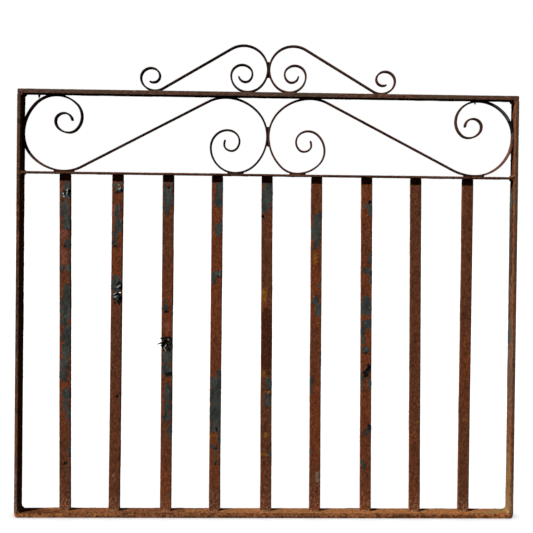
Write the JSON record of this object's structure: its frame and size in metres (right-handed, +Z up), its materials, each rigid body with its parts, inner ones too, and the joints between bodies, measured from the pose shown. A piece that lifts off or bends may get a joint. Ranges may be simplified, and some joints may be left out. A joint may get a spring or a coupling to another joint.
{
  "type": "garden gate",
  "caption": "Low garden gate leaf: welded flat-bar frame with upright slats, a panel of bent scrolls under the top rail and a scrolled crest.",
  "frame": {"origin": "middle of the underside of the bottom rail, at half the gate's depth", "axes": "+X along the gate towards the right stile, -Y is the front face, +Z up"},
  "size_m": [0.915, 0.025, 0.8678],
  "materials": {
    "frame_bar": "weathered dark paint rusted through to brown",
    "slat_bar": "red-brown rust with patches of old grey-green paint",
    "scroll_bar": "dark brown rust",
    "weld_metal": "rusted weld bead"
  },
  "bodies": {
    "root": {"bottom_rail": "frame_bar", "top_rail": "frame_bar", "left_stile": "frame_bar", "right_stile": "frame_bar", "mid_rail": "frame_bar", "slat_1": "slat_bar", "slat_2": "slat_bar", "slat_3": "slat_bar", "slat_4": "slat_bar", "slat_5": "slat_bar", "slat_6": "slat_bar", "slat_7": "slat_bar", "slat_8": "slat_bar", "slat_9": "slat_bar", "panel_scroll_left": "scroll_bar", "panel_scroll_right": "scroll_bar", "crest_scroll_left": "scroll_bar", "crest_scroll_right": "scroll_bar", "frame_corner_welds": "weld_metal", "mid_rail_welds": "weld_metal", "slat_foot_welds": "weld_metal", "slat_head_welds": "weld_metal", "scroll_welds": "weld_metal"}
  },
  "joints": []
}
